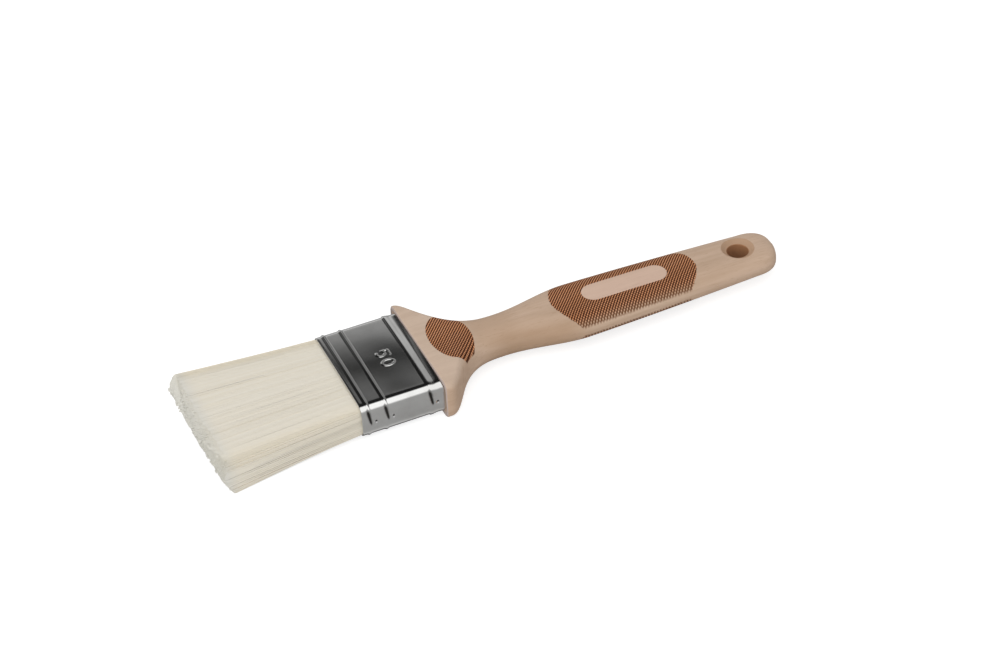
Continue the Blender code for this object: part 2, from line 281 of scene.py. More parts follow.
def add_piece(name, mesh, material, slot, *nodes):
    """Object for a mesh: it rides on the brush, stands for the CAD nodes named and takes the material given. The
    slot is not used.
    """
    piece = bpy.data.objects.new(name, mesh)
    bpy.context.scene.collection.objects.link(piece)
    mesh.materials.clear()
    mesh.materials.append(material)
    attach(piece, BODY)
    if nodes:
        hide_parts(*nodes)
    return piece


# Material helpers


class Nodes:
    """Short ways to add shader nodes to one tree. Inputs take a number, a colour or another node's socket."""

    def __init__(self, tree):
        self.tree = tree

    def put(self, socket, value):
        if isinstance(value, bpy.types.NodeSocket):
            self.tree.links.new(value, socket)
        else:
            socket.default_value = value

    def add(self, kind, inputs=(), **settings):
        made = self.tree.nodes.new(kind)
        for key, value in settings.items():
            setattr(made, key, value)
        for key, value in dict(inputs).items():
            self.put(made.inputs[key], value)
        return made

    def math(self, operation, *values):
        made = self.add("ShaderNodeMath", enumerate(values), operation=operation)
        return made.outputs[0]

    def band(self, value, start, end):
        """0 up to start and 1 from end on, smooth between."""
        inputs = {"Value": value, "From Min": start, "From Max": end}
        return self.add("ShaderNodeMapRange", inputs, interpolation_type="SMOOTHSTEP").outputs[0]

    def ranged(self, value, low, high):
        """A value from 0 to 1 carried over to low to high."""
        return self.add("ShaderNodeMapRange", {"Value": value, "To Min": low, "To Max": high}).outputs[0]

    def blend(self, share, first, second):
        """Colour that goes from first to second with share."""
        made = self.add("ShaderNodeMix", data_type="RGBA")
        self.put(made.inputs["Factor"], share)
        self.put(made.inputs[6], first)
        self.put(made.inputs[7], second)
        return made.outputs[2]

    def noise(self, place, stretch, detail=3.0, rough=0.5):
        """Noise from 0 to 1 at a place, with so many waves to the metre along X, Y and Z."""
        moved = self.add("ShaderNodeMapping", {"Vector": place, "Scale": stretch}).outputs[0]
        inputs = {"Vector": moved, "Scale": 1.0, "Detail": detail, "Roughness": rough}
        return self.add("ShaderNodeTexNoise", inputs).outputs["Fac"]

    def bump(self, height, distance, strength=1.0, onto=None):
        inputs = {"Height": height, "Distance": distance, "Strength": strength}
        if onto is not None:
            inputs["Normal"] = onto
        return self.add("ShaderNodeBump", inputs).outputs[0]


def new_material(name):
    """A material with its helper, its shader and the place on the brush that its nodes start from."""
    material = bpy.data.materials.new(name)
    material.use_nodes = True
    nodes = Nodes(material.node_tree)
    shader = material.node_tree.nodes["Principled BSDF"]
    place = nodes.add("ShaderNodeTexCoord").outputs["Object"]
    return material, nodes, shader, place


def set_shader(nodes, shader, **inputs):
    for key, value in inputs.items():
        nodes.put(shader.inputs[key.replace("_", " ")], value)


# Materials


WOOD_LIGHT = (0.600, 0.437, 0.322, 1.0)
WOOD_DEEP = (0.510, 0.357, 0.250, 1.0)
WOOD_FLECK = (0.390, 0.250, 0.155, 1.0)
WOOD_PALE = (0.820, 0.580, 0.480, 1.0)
WOOD_HEAD = (0.645, 0.530, 0.438, 1.0)
WOOD_END = (0.440, 0.358, 0.322, 1.0)
# Painted shade in the dish and in the bore of the hang hole
DISH_PAINTED_SHADE = (0.470, 0.305, 0.195, 1.0)
BORE_PAINTED_SHADE = (0.400, 0.205, 0.102, 1.0)
BURN_DARK = (0.050, 0.012, 0.004, 1.0)
BURN_LAND = (0.745, 0.298, 0.118, 1.0)
BURN_FADED = (0.190, 0.085, 0.038, 1.0)


def hatch_masks(nodes, place):
    """Shares at each place: burned pattern, wood left between its grooves, where the pattern is faded, and the
    paler wood in the window and on the head."""
    axes = nodes.add("ShaderNodeSeparateXYZ", {"Vector": place}).outputs
    along = nodes.math("SUBTRACT", axes["X"], SHOULDER_X)
    across = axes["Y"]
    across_squared = nodes.math("MULTIPLY", across, across)
    from_bare = nodes.math("SUBTRACT", axes["Z"], AXIS_Z + BARE_SIDE_MIDDLE)
    from_bare = nodes.math("ABSOLUTE", from_bare)

    wobble = nodes.ranged(nodes.noise(place, (900, 900, 900), 1.0), -0.10, 0.10)
    second = nodes.ranged(nodes.band(across, -8 * MM, 4 * MM), HATCH_SECOND_NEAR, HATCH_SECOND_FAR)
    lands = []
    for slant, depth in ((-HATCH_SLANT, 1.0), (HATCH_SLANT, second)):
        phase = nodes.math("MULTIPLY_ADD", across, slant, along)
        phase = nodes.math("MULTIPLY_ADD", phase, 1 / HATCH_PITCH, wobble)
        from_groove = nodes.math("PINGPONG", phase, 0.5)
        edge = HATCH_GROOVE_SHARE / 2
        groove = nodes.band(from_groove, edge + 0.09, edge - 0.09)
        lands.append(nodes.math("SUBTRACT", 1.0, nodes.math("MULTIPLY", groove, depth)))
    land = nodes.math("MULTIPLY", *lands)

    oval_along = nodes.math("SUBTRACT", along, NECK_PATCH_MIDDLE)
    oval_along = nodes.math("DIVIDE", oval_along, NECK_PATCH_HALF_LENGTH)
    oval_across = nodes.math("SUBTRACT", across, NECK_PATCH_MIDDLE_Y)
    oval_across = nodes.math("DIVIDE", oval_across, NECK_PATCH_HALF_WIDTH)
    oval_across = nodes.math("MULTIPLY", oval_across, oval_across)
    oval = nodes.math("MULTIPLY_ADD", oval_along, oval_along, oval_across)
    neck = nodes.band(oval, 1.03, 0.98)
    front = nodes.band(axes["Z"], AXIS_Z + NECK_PATCH_LOW, AXIS_Z + NECK_PATCH_LOW + 0.8 * MM)
    back = nodes.band(axes["Z"], AXIS_Z - NECK_PATCH_BACK_LOW, AXIS_Z - NECK_PATCH_BACK_LOW - 0.8 * MM)
    neck = nodes.math("MULTIPLY", neck, nodes.math("MAXIMUM", front, back))

    worn = nodes.ranged(nodes.noise(place, (1100, 1100, 1100), 1.0), -0.6 * MM, 0.6 * MM)
    worn = nodes.math("ADD", along, worn)
    start = nodes.math("MULTIPLY_ADD", across_squared, -GRIP_PATCH_START_BOW, worn)
    end = nodes.math("MULTIPLY_ADD", across_squared, GRIP_PATCH_END_BOW, worn)
    grip = nodes.math(
        "MULTIPLY",
        nodes.band(start, GRIP_PATCH_START, GRIP_PATCH_START + 0.3 * MM),
        nodes.band(end, GRIP_PATCH_END, GRIP_PATCH_END - 0.3 * MM),
    )
    nearest = nodes.math("MAXIMUM", along, WINDOW_START + WINDOW_HALF_WIDTH)
    nearest = nodes.math("MINIMUM", nearest, WINDOW_END - WINDOW_HALF_WIDTH)
    from_line = nodes.math("SUBTRACT", along, nearest)
    from_line = nodes.math("MULTIPLY_ADD", from_line, from_line, across_squared)
    from_line = nodes.math("SQRT", from_line)
    window = nodes.band(from_line, WINDOW_HALF_WIDTH - 0.1 * MM, WINDOW_HALF_WIDTH + 0.15 * MM)
    head = nodes.band(along, 26 * MM, 16 * MM)
    head = nodes.math("MULTIPLY", head, nodes.band(axes["Z"], AXIS_Z + 5.5 * MM, AXIS_Z + 8.2 * MM))
    grip = nodes.math("MULTIPLY", grip, window)
    sanded = nodes.math("SUBTRACT", 1.0, window)

    ragged = nodes.noise(place, (700, 1, 1), 1.0)
    fade = nodes.math("MULTIPLY_ADD", ragged, 1.2 * MM, BARE_SIDE - 0.6 * MM)
    fade_end = nodes.math("ADD", fade, BARE_SIDE_FADE)
    faces = nodes.band(from_bare, fade, fade_end)
    burned = nodes.math("MAXIMUM", neck, nodes.math("MULTIPLY", grip, faces))
    faded = nodes.band(from_bare, 5.3 * MM, 2.3 * MM)
    return burned, land, faded, sanded, head


def end_grain_mask(nodes, place):
    """1 on the shoulders beside the ferrule, where the saw has left the end grain bare."""
    along = nodes.add("ShaderNodeSeparateXYZ", {"Vector": place}).outputs["X"]
    return nodes.band(along, SHOULDER_X + 0.55 * MM, SHOULDER_X + 0.15 * MM)


def dish_mask(nodes, place, reach):
    """1 within reach of the hang hole's axis, to mark its dish and its bore for painted shade."""
    axes = nodes.add("ShaderNodeSeparateXYZ", {"Vector": place}).outputs
    along = nodes.math("SUBTRACT", axes["X"], SHOULDER_X + HOLE_PLACE)
    radius = nodes.math("MULTIPLY_ADD", along, along, nodes.math("MULTIPLY", axes["Y"], axes["Y"]))
    radius = nodes.math("SQRT", radius)
    return nodes.band(radius, reach + 0.15 * MM, reach - 0.15 * MM)


def beech_material():
    """Bare sanded beech with short dark flecks and the grip pattern burned into it, with painted shade on the neck,
    the near ear, the lower side and the hang hole.
    """
    material, nodes, shader, place = new_material("beech_wood")
    broad = nodes.noise(place, (9, 60, 60), 4.0, 0.55)
    streak = nodes.noise(place, (22, 420, 420), 4.0, 0.6)
    tone = nodes.math("MULTIPLY_ADD", streak, 0.55, nodes.math("MULTIPLY", broad, 0.45))
    axes = nodes.add("ShaderNodeSeparateXYZ", {"Vector": place}).outputs
    along = nodes.math("SUBTRACT", axes["X"], SHOULDER_X)
    # Painted shade: the tone is deeper on the neck, except at its near edge
    from_neck = nodes.math("ABSOLUTE", nodes.math("SUBTRACT", along, NECK_PLACE - 6 * MM))
    neck = nodes.math("MULTIPLY", nodes.band(from_neck, 17 * MM, 6 * MM), nodes.band(axes["Y"], -9.5 * MM, -7 * MM))
    tone = nodes.math("MULTIPLY_ADD", neck, 0.17, tone)
    wood = nodes.blend(nodes.band(tone, 0.36, 0.66), WOOD_LIGHT, WOOD_DEEP)
    fleck = nodes.noise(place, (260, 2300, 2300), 1.5, 0.5)
    fleck = nodes.band(fleck, 0.60, 0.74)
    wood = nodes.blend(nodes.math("MULTIPLY", fleck, 0.42), wood, WOOD_FLECK)
    # Painted shade: the near side of the near ear and the near, lower part of the handle from neck to grip are
    # darkened towards the fleck colour
    ear = nodes.math("MULTIPLY", nodes.band(along, 15 * MM, 8 * MM), nodes.band(axes["Y"], -22 * MM, -27 * MM))
    from_grip = nodes.math("ABSOLUTE", nodes.math("SUBTRACT", along, 48 * MM))
    low = nodes.math("MULTIPLY", nodes.band(from_grip, 26 * MM, 10 * MM), nodes.band(axes["Y"], 5 * MM, -5 * MM))
    low = nodes.math("MULTIPLY", low, nodes.band(axes["Z"], AXIS_Z + 8.0 * MM, AXIS_Z + 4.0 * MM))
    painted_shade = nodes.math("MAXIMUM", nodes.math("MULTIPLY", ear, 0.30), nodes.math("MULTIPLY", low, 0.70))
    wood = nodes.blend(painted_shade, wood, WOOD_FLECK)

    burned, land, faded, sanded, head = hatch_masks(nodes, place)
    wood = nodes.blend(nodes.math("MULTIPLY", sanded, 0.40), wood, WOOD_PALE)
    wood = nodes.blend(nodes.math("MULTIPLY", head, 0.36), wood, WOOD_HEAD)
    wood = nodes.blend(end_grain_mask(nodes, place), wood, WOOD_END)
    # Painted shade in the dish round the hang hole
    wood = nodes.blend(dish_mask(nodes, place, DISH_RADIUS), wood, DISH_PAINTED_SHADE)
    char = nodes.noise(place, (120, 300, 300), 3.0, 0.6)
    dots = nodes.blend(nodes.math("MULTIPLY", char, 0.35), BURN_LAND, wood)
    dots = nodes.blend(nodes.math("MULTIPLY", faded, 0.9), dots, wood)
    lines = nodes.blend(nodes.math("MULTIPLY", faded, 0.8), BURN_DARK, BURN_FADED)
    hatch = nodes.blend(land, lines, dots)
    colour = nodes.blend(burned, wood, hatch)
    # Painted shade in the bore of the hang hole
    colour = nodes.blend(dish_mask(nodes, place, HOLE_RADIUS + 0.2 * MM), colour, BORE_PAINTED_SHADE)

    groove = nodes.math("MULTIPLY", burned, nodes.math("SUBTRACT", 1.0, land))
    roughness = nodes.math("MULTIPLY_ADD", groove, 0.22, nodes.ranged(streak, 0.50, 0.66))
    pores = nodes.bump(nodes.math("MULTIPLY_ADD", fleck, -0.6, streak), 0.05 * MM, 0.5)
    normal = nodes.bump(nodes.math("MULTIPLY", groove, -1.0), HATCH_DEPTH, 0.9, pores)
    set_shader(nodes, shader, Base_Color=colour, Roughness=roughness, Normal=normal)
    set_shader(nodes, shader, Specular_IOR_Level=nodes.ranged(groove, 0.35, 0.08))
    return material


STEEL_BRIGHT = (0.760, 0.758, 0.745, 1.0)
STEEL_DULL = (0.660, 0.655, 0.640, 1.0)
# Painted shade for the slots and the dots of the ferrule
STEEL_PAINTED_SHADE = (0.050, 0.047, 0.044, 1.0)
SHADE_ATTRIBUTE = "crease_shade"


def steel_material():
    """Bright tinned sheet: nearly a mirror, with faint handling marks and rolling lines, and painted shade in its
    slots and in the upper part of its dots.
    """
    material, nodes, shader, place = new_material("tinned_steel_sheet")
    smudge = nodes.noise(place, (90, 90, 90), 4.0, 0.55)
    rolled = nodes.noise(place, (60, 2600, 2600), 2.0, 0.5)
    speck = nodes.band(nodes.noise(place, (1500, 1500, 1500), 2.0, 0.5), 0.62, 0.75)
    colour = nodes.blend(nodes.band(smudge, 0.35, 0.75), STEEL_BRIGHT, STEEL_DULL)
    # Painted shade: this attribute darkens and dulls the slots and the upper part of each dot
    crease_shade = nodes.add("ShaderNodeAttribute", attribute_name=SHADE_ATTRIBUTE).outputs["Fac"]
    colour = nodes.blend(crease_shade, colour, STEEL_PAINTED_SHADE)
    roughness = nodes.ranged(smudge, 0.05, 0.11)
    roughness = nodes.math("MULTIPLY_ADD", rolled, 0.04, roughness)
    roughness = nodes.math("MULTIPLY_ADD", speck, 0.05, roughness)
    roughness = nodes.math("MULTIPLY_ADD", crease_shade, 0.30, roughness)
    normal = nodes.bump(rolled, 0.004 * MM, 0.35)
    set_shader(nodes, shader, Base_Color=colour, Roughness=roughness, Normal=normal, Metallic=1.0)
    return material


FILAMENT_PALE = (0.788, 0.742, 0.645, 1.0)
FILAMENT_WARM = (0.776, 0.722, 0.608, 1.0)
# Greyer colour towards the tips: painted shade
FILAMENT_TIP_SHADE = (0.690, 0.676, 0.622, 1.0)


def filament_material():
    """Off-white synthetic filament: each strand has its own tone, and the tips are greyer with painted shade."""
    material, nodes, shader, place = new_material("off_white_filament")
    strand = nodes.add("ShaderNodeNewGeometry").outputs["Random Per Island"]
    lock = nodes.noise(place, (14, 330, 330), 3.0, 0.6)
    tone = nodes.math("MULTIPLY_ADD", strand, 0.5, nodes.math("MULTIPLY", lock, 0.5))
    colour = nodes.blend(nodes.band(tone, 0.15, 0.90), FILAMENT_PALE, FILAMENT_WARM)
    along = nodes.add("ShaderNodeSeparateXYZ", {"Vector": place}).outputs["X"]
    # Painted shade: the last millimetres towards the tips turn greyer
    tip_shade = nodes.band(along, MOUTH_X - 51 * MM, MOUTH_X - 60 * MM)
    colour = nodes.blend(tip_shade, colour, FILAMENT_TIP_SHADE)
    roughness = nodes.ranged(lock, 0.42, 0.60)
    ripple = nodes.noise(place, (900, 3000, 3000), 2.0, 0.5)
    normal = nodes.bump(ripple, 0.02 * MM, 0.3)
    set_shader(nodes, shader, Base_Color=colour, Roughness=roughness, Normal=normal, Specular_IOR_Level=0.3)
    return material


def resin_material():
    """Amber setting resin, with the cloudy swirls of a hand-mixed pour."""
    material, nodes, shader, place = new_material("amber_resin")
    swirl = nodes.noise(place, (160, 160, 160), 5.0, 0.6)
    colour = nodes.blend(nodes.band(swirl, 0.3, 0.7), (0.58, 0.38, 0.13, 1.0), (0.42, 0.25, 0.07, 1.0))
    normal = nodes.bump(swirl, 0.2 * MM, 0.4)
    roughness = nodes.ranged(swirl, 0.25, 0.45)
    set_shader(nodes, shader, Base_Color=colour, Roughness=roughness, Normal=normal)
    return material


def card_material():
    """Grey-brown filler card, with fibres along it."""
    material, nodes, shader, place = new_material("filler_card_board")
    fibre = nodes.noise(place, (300, 1800, 1800), 4.0, 0.65)
    colour = nodes.blend(nodes.band(fibre, 0.35, 0.65), (0.46, 0.40, 0.31, 1.0), (0.34, 0.28, 0.21, 1.0))
    normal = nodes.bump(fibre, 0.1 * MM, 0.5)
    roughness = nodes.ranged(fibre, 0.75, 0.92)
    set_shader(nodes, shader, Base_Color=colour, Roughness=roughness, Normal=normal)
    return material


# Handle


def handle_half_width(distance, far=False):
    """Half width at a distance from the shoulder, up to where the butt starts to round off.

    The ear on the far side, at +Y, was sanded a little deeper than the one on the near side.
    """
    ear, neck, grip, butt = HEAD_WIDTH / 2, NECK_WIDTH / 2, GRIP_WIDTH / 2, BUTT_WIDTH / 2
    if distance < NECK_PLACE:
        depth = FAR_EAR_DEPTH if far else EAR_DEPTH
        power = FAR_FLARE_POWER if far else FLARE_POWER
        rounding = FAR_EAR_ROUND if far else EAR_ROUND
        share = (NECK_PLACE - distance) / (NECK_PLACE - depth)
        return smooth_minimum(ear, mix(neck, ear, share**power), rounding)
    if distance < GRIP_PLACE:
        return mix(neck, grip, ease((distance - NECK_PLACE) / (GRIP_PLACE - NECK_PLACE)))
    share = (distance - GRIP_PLACE) / (HANDLE_LENGTH - BUTT_ROUND - GRIP_PLACE)
    return mix(grip, butt, share**GRIP_TAPER_POWER)


def handle_half_thickness(distance):
    head, neck, grip, butt = HEAD_THICKNESS / 2, NECK_THICKNESS / 2, GRIP_THICKNESS / 2, BUTT_THICKNESS / 2
    if distance < NECK_PLACE:
        return mix(head, neck, ease((distance - HEAD_FLAT) / (NECK_PLACE - HEAD_FLAT)))
    if distance < GRIP_PLACE:
        return mix(neck, grip, ease((distance - NECK_PLACE) / (GRIP_PLACE - NECK_PLACE)))
    share = (distance - GRIP_PLACE) / (HANDLE_LENGTH - BUTT_ROUND - GRIP_PLACE)
    return mix(grip, butt, share**GRIP_THINNING_POWER)


def section(half_width, half_thickness, round_across, round_up, corner_steps, flat_steps):
    """Points (y, z) of a rectangle with quarter-ellipse corners, once round, with points on its wide faces."""
    points = []
    for quarter in range(4):
        side_y = 1 if quarter in (0, 3) else -1
        side_z = 1 if quarter in (0, 1) else -1
        centre_y = side_y * (half_width - round_across)
        centre_z = side_z * (half_thickness - round_up)
        for step in range(corner_steps + 1):
            angle = math.pi / 2 * (quarter + step / corner_steps)
            points.append((centre_y + round_across * math.cos(angle), centre_z + round_up * math.sin(angle)))
        if quarter in (0, 2):
            for step in range(1, flat_steps):
                points.append((mix(centre_y, -centre_y, step / flat_steps), points[-1][1]))
    return points


CORNER_STEPS = 22
FLAT_STEPS = 24


def handle_ring(distance, near, far, half_thickness):
    """Ring of the handle, from its half widths on both sides: boxy at the head, then oval."""
    half_width = (near + far) / 2
    middle = (far - near) / 2
    share = ease((distance - EDGE_ROUND_START) / (EDGE_ROUND_END - EDGE_ROUND_START))
    along_grip = ease((distance - NECK_PLACE) / (GRIP_PLACE - NECK_PLACE))
    round_share = mix(NECK_ROUND_SHARE, GRIP_ROUND_SHARE, along_grip)
    round_across = mix(HEAD_EDGE, round_share * half_width, share)
    round_up = mix(HEAD_EDGE, ROUND_SHARE_UP * half_thickness, share)
    outline = section(half_width, half_thickness, round_across, round_up, CORNER_STEPS, FLAT_STEPS)
    return [(SHOULDER_X + distance, middle + y, AXIS_Z + z) for y, z in outline]


def handle_rings():
    stock_width = FERRULE_WIDTH / 2 - FERRULE_SHEET - FIT_GAP
    stock_thickness = FERRULE_THICKNESS / 2 - FERRULE_SHEET - FIT_GAP
    stock_corner = FERRULE_CORNER - FERRULE_SHEET - FIT_GAP
    stock = section(stock_width, stock_thickness, stock_corner, stock_corner, CORNER_STEPS, FLAT_STEPS)
    rings = [[(STOCK_X, y, AXIS_Z + z) for y, z in stock]]
    rings.append([(SHOULDER_X + SHOULDER_HOLLOW * end_share(z), y, AXIS_Z + z) for y, z in stock])
    for step in range(6):
        angle = math.pi / 2 * step / 6
        distance = SHOULDER_ROUND * (1 - math.cos(angle))
        inset = SHOULDER_ROUND * (1 - math.sin(angle))
        near, far = handle_half_width(distance) - inset, handle_half_width(distance, far=True) - inset
        rings.append(handle_ring(distance, near, far, handle_half_thickness(distance) - inset))
    start_round = HANDLE_LENGTH - BUTT_ROUND
    for distance in graded(SHOULDER_ROUND, start_round, 1.0 * MM, [], 1.0 * MM):
        near, far = handle_half_width(distance), handle_half_width(distance, far=True)
        rings.append(handle_ring(distance, near, far, handle_half_thickness(distance)))
    for step in range(1, 29):
        share = math.sin(math.pi / 2 * step / 28.4)
        width = BUTT_WIDTH / 2 * (1 - share**BUTT_OUTLINE_POWER) ** (1 / BUTT_OUTLINE_POWER)
        thickness = BUTT_THICKNESS / 2 * (1 - share**BUTT_EDGE_POWER) ** (1 / BUTT_EDGE_POWER)
        reach = share if step < 28 else 1.0
        rings.append(handle_ring(HANDLE_LENGTH - BUTT_ROUND * (1 - reach), width, width, thickness))
    return rings


def hang_hole_cutter():
    """Turned plug for the hang hole: a bore with a rounded edge that opens into a shallow dish at each face."""
    face = handle_half_thickness(HOLE_PLACE)
    profile = []
    for step in range(9):
        share = step / 8
        radius = mix(DISH_RADIUS + 2.4 * MM, HOLE_RADIUS + HOLE_EDGE, share)
        slope = DISH_DEPTH / (DISH_RADIUS - HOLE_RADIUS)
        profile.append((radius, face - slope * (DISH_RADIUS - radius)))
    edge_height = profile[-1][1]
    for step in range(1, 6):
        angle = math.pi / 2 * step / 5
        radius = HOLE_RADIUS + HOLE_EDGE * (1 - math.sin(angle))
        profile.append((radius, edge_height - HOLE_EDGE * (1 - math.cos(angle))))
    profile += [(radius, -height) for radius, height in reversed(profile)]
    around = 96
    rings = []
    for radius, height in profile:
        ring = []
        for step in range(around):
            angle = 2 * math.pi * step / around
            x = SHOULDER_X + HOLE_PLACE + radius * math.cos(angle)
            ring.append((x, radius * math.sin(angle), AXIS_Z + height))
        rings.append(ring)
    cutter = bpy.data.objects.new("hang_hole_cutter", grid_mesh("hang_hole_cutter", rings, capped=True))
    bpy.context.scene.collection.objects.link(cutter)
    return cutter


def cut_mesh(name, mesh, cutter):
    """A new mesh: what is left of one mesh when the cutter is taken from it. The cutter goes away."""
    solid = bpy.data.objects.new(name, mesh)
    bpy.context.scene.collection.objects.link(solid)
    cut = solid.modifiers.new("cut", "BOOLEAN")
    cut.operation = "DIFFERENCE"
    cut.solver = "EXACT"
    cut.object = cutter
    bpy.context.view_layer.update()
    seen = solid.evaluated_get(bpy.context.evaluated_depsgraph_get())
    result = bpy.data.meshes.new_from_object(seen)
    bpy.data.objects.remove(solid)
    bpy.data.objects.remove(cutter)
    result.name = name
    result.shade_smooth()
    result.set_sharp_from_angle(angle=math.radians(38))
    return result


def make_handle():
    mesh = cut_mesh("handle_wood", grid_mesh("handle_loft", handle_rings(), capped=True), hang_hole_cutter())
    add_piece("handle_wood", mesh, beech_material(), "beech", "handle")


# Ferrule


def bead_share(z):
    """Share of a bead's height at a height z from the middle: a bead dies out where the narrow sides start."""
    corner = FERRULE_THICKNESS / 2 - FERRULE_CORNER
    above = ease((z - BEAD_END + BEAD_END_FADE) / BEAD_END_FADE)
    below = ease((-z - corner) / FERRULE_CORNER)
    return np.where(z >= -corner, above, below)


def bead_lean(z):
    """How far a bead has run towards the handle at a height z from the middle: it leans on the narrow sides."""
    corner = FERRULE_THICKNESS / 2 - FERRULE_CORNER
    return np.where(z >= -corner, BEAD_LEAN * (FERRULE_THICKNESS / 2 - z), 0.0)


def end_share(z):
    """0 at the wide faces and 1 on the narrow sides, where the sheet reaches in under the ears of the handle."""
    return ease((FERRULE_THICKNESS / 2 - np.abs(z)) / END_REACH_FADE)


def drawn_out(x, z):
    """Distances from the mouth of the points of a ring, with the ends of the narrow sides drawn out."""
    past_last = (x - BEAD_PLACES[-1]) / (FERRULE_LENGTH - BEAD_PLACES[-1])
    return x + END_REACH * end_share(z) * ease(past_last)


def sheet_outline():
    """Points y, z round the outside of the ferrule with their outward directions, finer where it is pressed."""
    flat_y = FERRULE_WIDTH / 2 - FERRULE_CORNER
    flat_z = FERRULE_THICKNESS / 2 - FERRULE_CORNER
    reach = DIGIT_PITCH / 2 + DIGIT_WIDTH / 2 + DIGIT_STROKE + DIGIT_MARGIN
    digits = (NUMBER_Y - reach, NUMBER_Y + reach)
    front = graded(-flat_y, flat_y, 1.2 * MM, [digits], 0.2 * MM)
    back = steps(-flat_y, flat_y, 1.6 * MM)
    pressed_reach = DOT_RADIUS + 0.2 * MM
    pressed = (-DOT_BELOW_MIDDLE - pressed_reach, -DOT_BELOW_MIDDLE + pressed_reach)
    side = graded(-flat_z, flat_z, 0.7 * MM, [pressed], 0.15 * MM)
    points = []

    def corner(quarter):
        centre_y = flat_y if quarter in (0, 3) else -flat_y
        centre_z = flat_z if quarter in (0, 1) else -flat_z
        for step in range(1, 14):
            angle = math.pi / 2 * (quarter + step / 14)
            out_y, out_z = math.cos(angle), math.sin(angle)
            y = centre_y + FERRULE_CORNER * out_y
            z = centre_z + FERRULE_CORNER * out_z
            points.append((y, z, out_y, out_z))

    points += [(FERRULE_WIDTH / 2, z, 1.0, 0.0) for z in side]
    corner(0)
    points += [(y, FERRULE_THICKNESS / 2, 0.0, 1.0) for y in reversed(front)]
    corner(1)
    points += [(-FERRULE_WIDTH / 2, z, -1.0, 0.0) for z in reversed(side)]
    corner(2)
    points += [(y, -FERRULE_THICKNESS / 2, 0.0, -1.0) for y in back]
    corner(3)
    return np.array(points).T


def sheet_stations():
    """Distances from the mouth at which the sheet has a ring."""
    reach = DIGIT_HEIGHT / 2 + DIGIT_STROKE + DIGIT_MARGIN
    runs = [(NUMBER_X - reach, NUMBER_X + reach)]
    for place in BEAD_PLACES:
        runs.append((place - SLOT_FROM_BEAD - SLOT_HALF_WIDTH, place + DOT_FROM_BEAD + DOT_RADIUS))
    runs.sort()
    start = MOUTH_CURL
    curl = [MOUTH_CURL * (1 - math.cos(math.pi / 2 * step / 4)) for step in range(4)]
    return np.array(curl + graded(start, FERRULE_LENGTH, 1.0 * MM, runs, 0.165 * MM))


def digit_five():
    """Points along the strokes of a 5, from 0 to 1 across and up."""
    flag = [(mix(0.95, 0.14, share), 1.0) for share in np.linspace(0, 1, 14)]
    stem = [(mix(0.14, 0.07, share), mix(1.0, 0.56, share)) for share in np.linspace(0, 1, 12)]
    bowl = []
    for angle in np.linspace(math.radians(148), math.radians(-118), 40):
        bowl.append((0.48 + 0.48 * math.cos(angle), 0.33 + 0.33 * math.sin(angle)))
    return flag + stem + bowl


def digit_nought():
    """Points along the stroke of a 0, from 0 to 1 across and up."""
    turns = np.linspace(0, 2 * math.pi, 72, endpoint=False)
    return [(0.5 + 0.5 * math.cos(angle), 0.5 + 0.5 * math.sin(angle)) for angle in turns]


def digit_strokes():
    """Points x, y along the strokes of the size number, where x is the distance from the mouth."""
    strokes = []
    for digit, shift in ((digit_five(), 0.5), (digit_nought(), -0.5)):
        for across, up in digit:
            y = NUMBER_Y + shift * DIGIT_PITCH - (across - 0.5) * DIGIT_WIDTH
            strokes.append((NUMBER_X + (up - 0.5) * DIGIT_HEIGHT, y))
    return np.array(strokes)


def side_slots(x, outline):
    """Share of a slot's depth round a ring: a bead has a narrow slot at its foot on the narrow sides."""
    y, z, out_y, out_z = outline
    x = drawn_out(x, z)
    depth = np.zeros(len(y))
    from_middle = (z - (SLOT_TOP + SLOT_LOW) / 2) / ((SLOT_TOP - SLOT_LOW) / 2)
    taper = np.clip(1 - np.abs(from_middle) ** 5, 0, 1) * (np.abs(out_y) > 0.5)
    half_width = mix(SLOT_LOW_HALF_WIDTH, SLOT_HALF_WIDTH, (from_middle + 1) / 2)
    half_width = np.clip(half_width, SLOT_LOW_HALF_WIDTH, SLOT_HALF_WIDTH)
    for place in BEAD_PLACES:
        from_slot = np.abs(x - place - bead_lean(z) + SLOT_FROM_BEAD) / half_width
        from_slot /= np.sqrt(np.maximum(taper, 0.05))
        depth += np.cos(math.pi / 2 * np.clip(from_slot, 0, 1)) ** 2 * taper
    return depth


def side_dots(x, outline, lift=0.0):
    """Share of a punched dot's depth round a ring: there is one beside each bead on the narrow sides."""
    y, z, out_y, out_z = outline
    x = drawn_out(x, z)
    depth = np.zeros(len(y))
    for place in BEAD_PLACES:
        from_dot = np.hypot(x - place - DOT_FROM_BEAD, z + DOT_BELOW_MIDDLE - lift) / DOT_RADIUS
        depth += np.where(np.abs(out_y) > 0.99, 1 - ease(from_dot), 0.0)
    return depth


